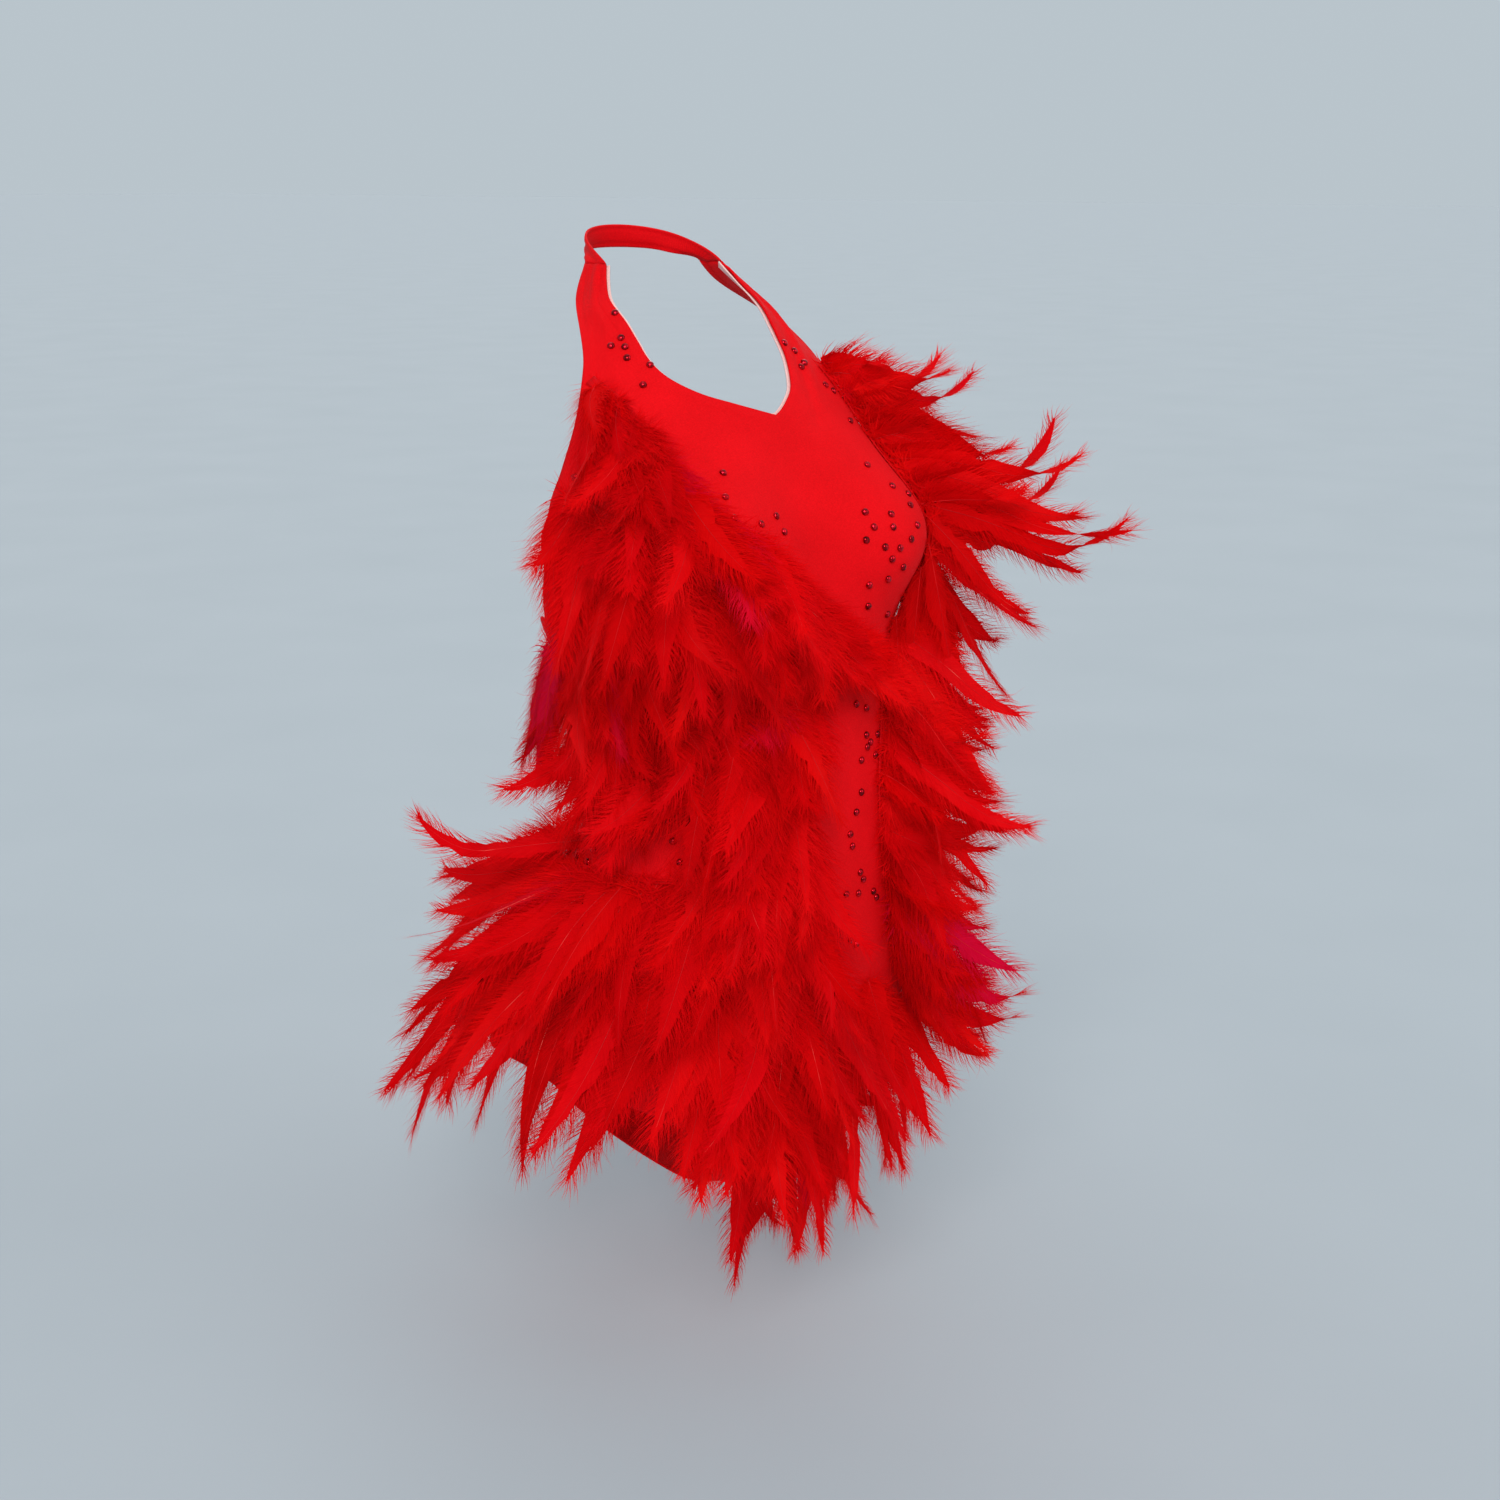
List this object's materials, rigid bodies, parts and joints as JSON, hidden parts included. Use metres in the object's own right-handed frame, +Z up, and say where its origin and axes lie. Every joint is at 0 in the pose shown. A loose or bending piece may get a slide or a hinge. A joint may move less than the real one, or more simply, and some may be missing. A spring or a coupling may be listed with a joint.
{
  "type": "feather dance leotard",
  "caption": "Halter-neck stretch dance leotard with a low back, trimmed with tapes of long soft feathers over the bust, waist, side and hips.",
  "frame": {"origin": "centre of the neck at the height of the halter band", "axes": "+Z up, the wearer faces -Y, the wearer's left is +X"},
  "size_m": [0.5062, 0.3974, 0.7201],
  "materials": {
    "stretch_cloth": "red matt stretch cloth with a slight sheen",
    "pale_tape": "pale pink elastic tape",
    "feather": "red dyed feathers sewn in a narrow tape",
    "rhinestone": "dark red cut glass stones"
  },
  "bodies": {
    "root": {"front_panel": "stretch_cloth", "back_panel": "stretch_cloth", "neck_band": "stretch_cloth", "neckline_facing": "pale_tape", "trim_front_point": "feather", "trim_front_low": "feather", "trim_hip_lower": "feather", "trim_hip_upper": "feather", "trim_midriff": "feather", "trim_waist": "feather", "trim_rib": "feather", "trim_side_bust": "feather", "trim_breast": "feather", "trim_bust": "feather", "trim_left_upper": "feather", "trim_left_lower": "feather", "trim_left_flank": "feather"}
  },
  "joints": []
}
